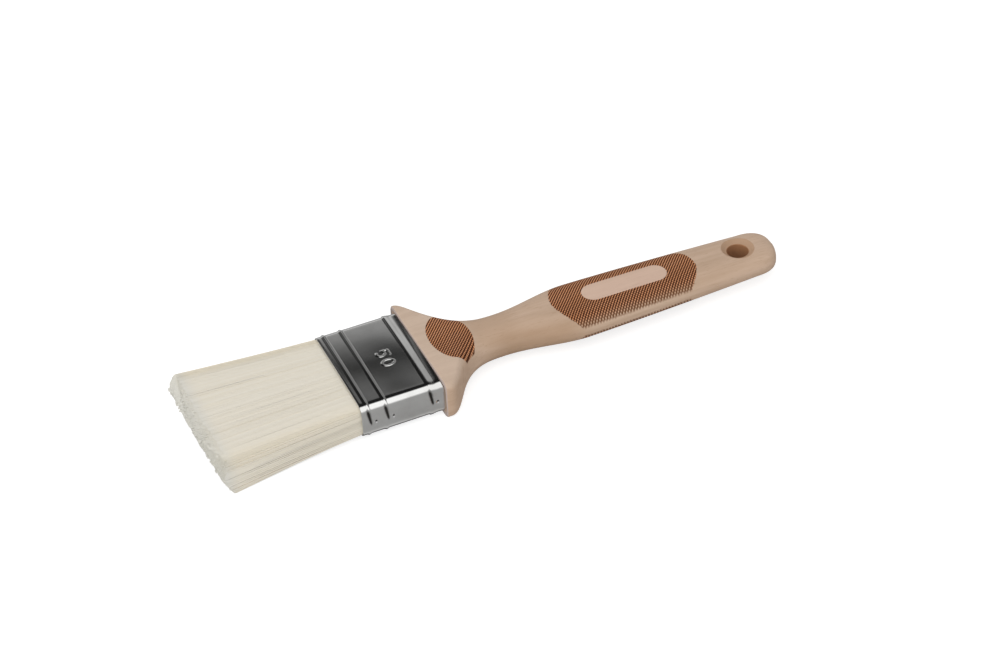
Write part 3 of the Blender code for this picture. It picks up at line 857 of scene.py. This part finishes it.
def sheet_raise(x, outline, strokes):
    """How far a ring of the sheet at a distance from the mouth stands out of the plain sleeve."""
    y, z, out_y, out_z = outline
    raised = np.zeros(len(y))
    for place in BEAD_PLACES:
        from_bead = x - place - bead_lean(z)
        run_out = BEAD_RUN_OUT if place == BEAD_PLACES[-1] else BEAD_WIDTH / 2
        from_bead = np.abs(from_bead) / np.where(from_bead > 0, run_out, BEAD_WIDTH / 2)
        raised += BEAD_HEIGHT * np.cos(math.pi / 2 * np.clip(from_bead, 0, 1)) ** 2 * bead_share(z)
    raised -= SLOT_DEPTH * side_slots(x, outline) + DOT_DEPTH * side_dots(x, outline)
    flat_y = FERRULE_WIDTH / 2 - FERRULE_CORNER
    flat_z = FERRULE_THICKNESS / 2 - FERRULE_CORNER
    crown = np.cos(math.pi / 2 * np.clip(y / flat_y, -1, 1))
    raised += np.where(np.abs(out_z) > 0.99, FACE_CROWN * crown, 0.0)
    crown = np.cos(math.pi / 2 * np.clip(z / flat_z, -1, 1))
    raised += np.where(np.abs(out_y) > 0.99, SIDE_CROWN * crown, 0.0)
    last_bead = BEAD_PLACES[-1]
    past_last = max(0.0, (x - last_bead) / (FERRULE_LENGTH - last_bead))
    raised += STRIP_RISE * past_last**4
    raised += END_FLARE * past_last**2 * end_share(z) * np.abs(out_y)
    if abs(x - NUMBER_X) < DIGIT_HEIGHT / 2 + DIGIT_STROKE:
        gap = np.hypot(strokes[:, 0][:, None] - x, strokes[:, 1][:, None] - y[None, :]).min(axis=0)
        press = np.cos(math.pi / 2 * np.clip(gap / DIGIT_STROKE, 0, 1)) ** 2
        raised += np.where(out_z > 0.99, DIGIT_RAISED * press, 0.0)
    if x < MOUTH_CURL:
        raised -= MOUTH_CURL * (1 - math.sqrt(max(0.0, 1 - (1 - x / MOUTH_CURL) ** 2)))
    return raised


def make_ferrule():
    outline = sheet_outline()
    y, z, out_y, out_z = outline
    strokes = digit_strokes()
    rings = []
    crease_shades = []
    for x in sheet_stations():
        raised = sheet_raise(x, outline, strokes)
        # Painted shade for the steel: dark in the slots and in the upper part of each dot, where shade falls
        dot_shade = np.clip(side_dots(x, outline, DOT_SHADE_LIFT) - 0.35, 0, 1)
        crease_shades.append(np.clip(1.4 * side_slots(x, outline) + 2.5 * dot_shade, 0, 1))
        for index in range(len(y)):
            spot = Vector((x, y[index], z[index])) / WAVE_LENGTH
            raised[index] += WAVE_HEIGHT * noise.noise(spot)
        ring_y, ring_z = y + out_y * raised, z + out_z * raised
        rings.append(np.stack((MOUTH_X + drawn_out(x, z), ring_y, AXIS_Z + ring_z), axis=1))
    for x in (FERRULE_LENGTH, FERRULE_LENGTH / 2, 0.1 * MM):
        inner = -FERRULE_SHEET
        ring_y, ring_z = y + out_y * inner, z + out_z * inner
        rings.append(np.stack((MOUTH_X + drawn_out(x, z), ring_y, AXIS_Z + ring_z), axis=1))
        crease_shades.append(np.zeros(len(y)))
    mesh = grid_mesh("ferrule_sheet", rings, closed_along=True)
    crease_shade = mesh.attributes.new(SHADE_ATTRIBUTE, "FLOAT", "POINT")
    crease_shade.data.foreach_set("value", np.concatenate(crease_shades))
    mesh.set_sharp_from_angle(angle=math.radians(55))
    add_piece("ferrule_sheet", mesh, steel_material(), "tinned_steel", "ferrule")


# Bristle


def rounded_off(z, half_thickness, radius):
    """How far a corner with such a radius draws the edge in at a height z from the middle."""
    beyond = np.clip(np.abs(z) - half_thickness + radius, 0, radius)
    return radius - np.sqrt(radius**2 - beyond**2)


def filament_roots(side, rng):
    """Shares across and up from -1 to 1 for one row's filaments. side is 1, 0 or -1, from front to back."""
    row = 2 * BRISTLE_HALF_THICKNESS / 3
    pitch_y = 2 * BRISTLE_HALF_WIDTH / FILAMENTS_ACROSS
    pitch_z = row / FILAMENT_LINES_PER_ROW
    line, number = np.meshgrid(np.arange(FILAMENT_LINES_PER_ROW), np.arange(FILAMENTS_ACROSS), indexing="ij")
    y = -BRISTLE_HALF_WIDTH + pitch_y * (number + 0.25 + 0.5 * (line % 2))
    z = side * row - row / 2 + pitch_z * (line + 0.5)
    y = (y + pitch_y * rng.uniform(-0.20, 0.20, y.shape)).ravel()
    z = (z + pitch_z * rng.uniform(-0.08, 0.08, z.shape)).ravel()
    return y / BRISTLE_HALF_WIDTH, np.clip(z / BRISTLE_HALF_THICKNESS, -1, 1)


def filament_tips(across, up, rng):
    """Where filaments end: they fan out, are shorter at the faces, and stand in a bundle with round corners."""
    tip_z = up * BRISTLE_TIP_HALF_THICKNESS
    near_corner = np.where(up > 0, BRISTLE_TIP_CORNER_NEAR_TOP, BRISTLE_TIP_CORNER_NEAR_LOW)
    corner = np.where(across > 0, BRISTLE_TIP_CORNER_FAR, near_corner)
    reach = np.where(across > 0, BRISTLE_TIP_FAR, BRISTLE_TIP_NEAR)
    tip_y = across * (reach - rounded_off(tip_z, BRISTLE_TIP_HALF_THICKNESS, corner))
    low = np.clip(-across, 0, 1) * np.clip(-up, 0, 1)
    tip_z -= BRISTLE_SAG * low
    locks = np.array([noise.noise(Vector((a * 9.0, b * 2.0, 0.0))) for a, b in zip(across, up)])
    fine_locks = np.array([noise.noise(Vector((a * 30.0, b * 5.0, 3.0))) for a, b in zip(across, up)])
    length = mix(BRISTLE_OUT, BRISTLE_OUT_AT_FACES, up * up)
    length -= BRISTLE_NEAR_SHORTER * ease((-across - 0.12) / 0.3)
    length -= BRISTLE_NEAR_CORNER * np.clip(-across, 0, 1) ** 8
    count = len(across)
    length += (0.40 * locks + 0.20 * fine_locks) * MM + rng.normal(0, 0.08 * MM, count)
    tip_y += (0.12 * locks + 0.05 * fine_locks) * MM + rng.normal(0, 0.06 * MM, count)
    tip_z += rng.normal(0, 0.02 * MM, count)
    outside = np.maximum(np.abs(across), np.abs(up)) > 0.9
    stray = (rng.uniform(0, 1, count) < STRAY_SHARE) & outside
    tip_y += np.where(stray, rng.normal(0, 1.1 * MM, count), 0)
    tip_z += np.where(stray, rng.normal(0, 0.2 * MM, count), 0)
    length = np.minimum(length, BRISTLE_OUT - rng.uniform(0, CUT_ROUGHNESS, count))
    spiky = (rng.uniform(0, 1, count) < SPIKE_SHARE) & (up > -0.15)
    length += np.where(spiky, rng.uniform(0.2 * MM, SPIKE_LENGTH, count), 0)
    tip_y = np.maximum(tip_y, -BRISTLE_SPREAD_LIMIT)
    tip_z = np.maximum(tip_z, 0.3 * MM - AXIS_Z)
    return length, tip_y, tip_z


def filament_mesh(name, side, rng):
    """One row of filaments as one mesh: thin tapering rods that run from the ferrule to their tips."""
    across, up = filament_roots(side, rng)
    length, tip_y, tip_z = filament_tips(across, up, rng)
    count = len(across)
    z = up * BRISTLE_HALF_THICKNESS
    y = across * (BRISTLE_HALF_WIDTH - rounded_off(z, BRISTLE_HALF_THICKNESS, BRISTLE_CORNER))
    row = 2 * BRISTLE_HALF_THICKNESS / 3
    pinched = side * row + (z - side * row) * BRISTLE_PINCH_SHARE
    sway_y = rng.normal(0, 0.04 * MM, count)
    sway_z = rng.normal(0, 0.02 * MM, count)
    outward = np.arctan2(up**15, across**15)
    turn = outward + math.pi / FILAMENT_SIDES + rng.normal(0, 0.08, count)
    girth = FILAMENT_RADIUS * rng.uniform(0.85, 1.12, count)
    lines = [
        (np.full(count, BRISTLE_ROOT_IN), y, pinched, girth),
        (np.full(count, BRISTLE_PINCH_IN), y, pinched, girth),
    ]
    for share in FILAMENT_SHARES:
        fan = share**BRISTLE_FAN_POWER
        bend = math.sin(math.pi * share)
        line_y = mix(y, tip_y, fan) + sway_y * bend
        line_z = mix(z, tip_z, fan) + sway_z * bend
        lines.append((-length * share, line_y, line_z, girth * mix(1.0, FILAMENT_TIP_SHARE, share**3)))
    corners = []
    for line_x, line_y, line_z, radius in lines:
        for corner in range(FILAMENT_SIDES):
            angle = turn + 2 * math.pi * corner / FILAMENT_SIDES
            spot_y = line_y + radius * np.cos(angle)
            spot_z = AXIS_Z + line_z + radius * np.sin(angle)
            corners.append(np.stack((MOUTH_X + line_x, spot_y, spot_z), axis=1))
    places = np.stack(corners, axis=1)
    per_filament = places.shape[1]
    pattern = []
    for ring in range(len(lines) - 1):
        for corner in range(FILAMENT_SIDES):
            after = (corner + 1) % FILAMENT_SIDES
            low, high = ring * FILAMENT_SIDES, (ring + 1) * FILAMENT_SIDES
            pattern.append((low + corner, high + corner, high + after, low + after))
    last = (len(lines) - 1) * FILAMENT_SIDES
    starts = np.arange(count) * per_filament
    quads = (starts[:, None, None] + np.array(pattern)[None]).reshape(-1, 4).tolist()
    ends = (starts[:, None] + np.arange(last, last + FILAMENT_SIDES)).tolist()
    roots = (starts[:, None] + np.arange(FILAMENT_SIDES)[::-1]).tolist()
    mesh = bpy.data.meshes.new(name)
    mesh.from_pydata(places.reshape(-1, 3).tolist(), [], quads + ends + roots)
    return mesh


def make_bristle():
    material = filament_material()
    rng = np.random.default_rng(FILAMENT_SEED)
    for row, side in (("front", 1), ("middle", 0), ("back", -1)):
        mesh = filament_mesh("bristle_" + row, side, rng)
        add_piece("bristle_" + row, mesh, material, "filament", "bristle_row_" + row)


# Inside the ferrule


def dress_inner_pieces():
    """The heel and the filler strips keep their CAD shape and get their own materials."""
    resin, card = resin_material(), card_material()
    for name, material in (("resin_heel", resin), ("filler_strip_front", card), ("filler_strip_back", card)):
        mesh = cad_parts[name].data
        mesh.materials.clear()
        mesh.materials.append(material)


# Stage


FLOOR_SIZE = 4.0
FLOOR_NEAR = 0.44
FLOOR_NEAR_BOUNCE = 0.78
# Greys that the ferrule mirrors: painted contact shadow under the brush, painted light just beside it
FLOOR_PAINTED_CONTACT_SHADOW = 0.05
FLOOR_PAINTED_EDGE_LIGHT = 0.75
FLOOR_FAR = 0.86
FLOOR_NEAR_REACH = 0.035
FLOOR_FAR_REACH = 0.13
FLOOR_LIFT = 0.76


def make_floor():
    """Pale floor that reads as white round the brush and keeps its shadow. What the ferrule mirrors of it is
    painted: a contact shadow under the brush, lighter just beside it, then grey; and its grey is darker near the
    brush, a painted shade.
    """
    half = FLOOR_SIZE / 2
    mesh = bpy.data.meshes.new("floor")
    mesh.from_pydata([(-half, -half, 0), (half, -half, 0), (half, half, 0), (-half, half, 0)], [], [(0, 1, 2, 3)])
    floor = bpy.data.objects.new("floor", mesh)
    bpy.context.scene.collection.objects.link(floor)
    material = bpy.data.materials.new("pale_floor")
    material.use_nodes = True
    nodes = Nodes(material.node_tree)
    shader = material.node_tree.nodes["Principled BSDF"]
    rays = nodes.add("ShaderNodeLightPath").outputs
    lift = nodes.math("MULTIPLY", rays["Is Camera Ray"], FLOOR_LIFT)
    place = nodes.add("ShaderNodeTexCoord").outputs["Object"]
    squeezed = nodes.add("ShaderNodeMapping", {"Vector": place, "Scale": (0.25, 1.0, 1.0)}).outputs[0]
    reach = nodes.add("ShaderNodeVectorMath", {0: squeezed}, operation="LENGTH").outputs["Value"]
    # Painted shade: the floor's grey is darker near the brush
    far = nodes.band(reach, FLOOR_NEAR_REACH, FLOOR_FAR_REACH)
    side = nodes.math("ABSOLUTE", nodes.add("ShaderNodeSeparateXYZ", {"Vector": place}).outputs["Y"])
    # Painted for mirror rays: nearly black under the brush, lighter just beside it, then grey
    mirrored = nodes.ranged(nodes.band(side, 26.0 * MM, 30.5 * MM), FLOOR_PAINTED_EDGE_LIGHT, FLOOR_NEAR)
    clear = nodes.band(side, 24.6 * MM, 25.6 * MM)
    mirrored = nodes.add("ShaderNodeMix", {"Factor": clear, "A": FLOOR_PAINTED_CONTACT_SHADOW, "B": mirrored}).outputs[0]
    bounced = nodes.math("SUBTRACT", 1.0, rays["Is Camera Ray"])
    near = nodes.add("ShaderNodeMix", {"Factor": bounced, "A": FLOOR_NEAR, "B": FLOOR_NEAR_BOUNCE}).outputs[0]
    grey = nodes.add("ShaderNodeMix", {"Factor": far, "A": near, "B": FLOOR_FAR}).outputs[0]
    grey = nodes.add("ShaderNodeMix", {"Factor": rays["Is Glossy Ray"], "A": grey, "B": mirrored}).outputs[0]
    set_shader(nodes, shader, Base_Color=grey, Roughness=0.9)
    set_shader(nodes, shader, Specular_IOR_Level=0.0, Emission_Color=(1.0, 1.0, 1.0, 1.0))
    set_shader(nodes, shader, Emission_Strength=lift)
    mesh.materials.append(material)


WORLD_TURN_Y = 0.17
WORLD_TURN_X = -0.31
WORLD_STOPS = (
    (0.0, 0.28), (0.28, 0.32), (0.45, 0.58), (0.56, 0.42), (0.645, 0.26), (0.668, 0.09), (0.69, 0.008),
    (0.708, 0.010), (0.735, 0.14), (0.755, 0.09), (0.78, 0.010), (1.0, 0.008),
)
WORLD_RIGHT_DIMMED = 0.55
FRONT_WALL = 0.95
FRONT_WALL_FOOT = 0.40
ROOM_LIGHT = 0.68
ROOM_MIRRORED = 1.3


def make_world():
    """Light tent: even light all round. The ferrule mirrors a bright front wall and a dark ceiling behind."""
    world = bpy.data.worlds.new("studio")
    world.use_nodes = True
    bpy.context.scene.world = world
    tree = world.node_tree
    tree.nodes.clear()
    nodes = Nodes(tree)
    direction = nodes.add("ShaderNodeTexCoord").outputs["Generated"]
    axes = nodes.add("ShaderNodeSeparateXYZ", {"Vector": direction}).outputs
    level = nodes.math("MULTIPLY_ADD", axes["Y"], WORLD_TURN_Y, axes["Z"])
    level = nodes.math("MULTIPLY_ADD", axes["X"], WORLD_TURN_X, level)
    ramp = nodes.add("ShaderNodeValToRGB", {"Fac": level})
    elements = ramp.color_ramp.elements
    while len(elements) < len(WORLD_STOPS):
        elements.new(0.5)
    for element, (place, grey) in zip(elements, WORLD_STOPS):
        element.position = place
        element.color = (grey, grey, grey, 1.0)
    rays = nodes.add("ShaderNodeLightPath").outputs
    right = nodes.band(axes["X"], 0.33, 0.60)
    behind = nodes.math("MULTIPLY", ramp.outputs["Color"], nodes.ranged(right, 1.0, 1.0 - WORLD_RIGHT_DIMMED))
    front = nodes.band(axes["Y"], 0.0, -0.30)
    wall = nodes.ranged(nodes.band(axes["Z"], 0.0, 0.40), FRONT_WALL_FOOT, FRONT_WALL)
    mirrored = nodes.add("ShaderNodeMix", {"Factor": front, "A": behind, "B": wall}).outputs[0]
    mirrored = nodes.math("MULTIPLY", mirrored, ROOM_MIRRORED)
    strength = nodes.add("ShaderNodeMix", {"Factor": rays["Is Glossy Ray"], "A": ROOM_LIGHT, "B": mirrored})
    strength = strength.outputs[0]
    room = nodes.add("ShaderNodeBackground", {"Color": (1.0, 1.0, 1.0, 1.0), "Strength": strength})
    plain = nodes.add("ShaderNodeBackground", {"Color": (1.0, 1.0, 1.0, 1.0), "Strength": 1.0})
    both = nodes.add("ShaderNodeMixShader", {"Fac": rays["Is Camera Ray"]})
    tree.links.new(room.outputs[0], both.inputs[1])
    tree.links.new(plain.outputs[0], both.inputs[2])
    output = nodes.add("ShaderNodeOutputWorld")
    tree.links.new(both.outputs[0], output.inputs["Surface"])


def add_softbox(name, place, aim, size, power):
    """Square soft lamp that lights the brush but doesn't show as a mirror image in the ferrule."""
    data = bpy.data.lights.new(name, "AREA")
    data.shape = "SQUARE"
    data.size = size
    data.energy = power
    lamp = bpy.data.objects.new(name, data)
    lamp.location = place
    lamp.rotation_euler = (Vector(aim) - Vector(place)).to_track_quat("-Z", "Y").to_euler()
    lamp.visible_glossy = False
    bpy.context.scene.collection.objects.link(lamp)


def make_lights():
    add_softbox("key_softbox", (-0.55, -0.35, 1.20), (0.0, 0.0, 0.0), 1.1, 4.0)
    add_softbox("front_softbox", (-1.00, -0.75, 0.45), (0.0, 0.0, 0.0), 0.9, 4.8)


def make_camera():
    data = bpy.data.cameras.new("camera")
    data.sensor_fit = "HORIZONTAL"
    data.sensor_width = CAMERA_SENSOR
    data.lens = CAMERA_LENS
    data.clip_start = 0.01
    data.clip_end = 50.0
    camera = bpy.data.objects.new("camera", data)
    look = (Vector(CAMERA_AIM) - Vector(CAMERA_PLACE)).to_track_quat("-Z", "Y")
    camera.location = CAMERA_PLACE
    camera.rotation_euler = (look @ Quaternion((0.0, 0.0, 1.0), -CAMERA_ROLL)).to_euler()
    bpy.context.scene.collection.objects.link(camera)
    bpy.context.scene.camera = camera


make_camera()
make_floor()
make_world()
make_lights()
make_handle()
make_ferrule()
make_bristle()
dress_inner_pieces()
bpy.context.scene.view_settings.view_transform = "Standard"
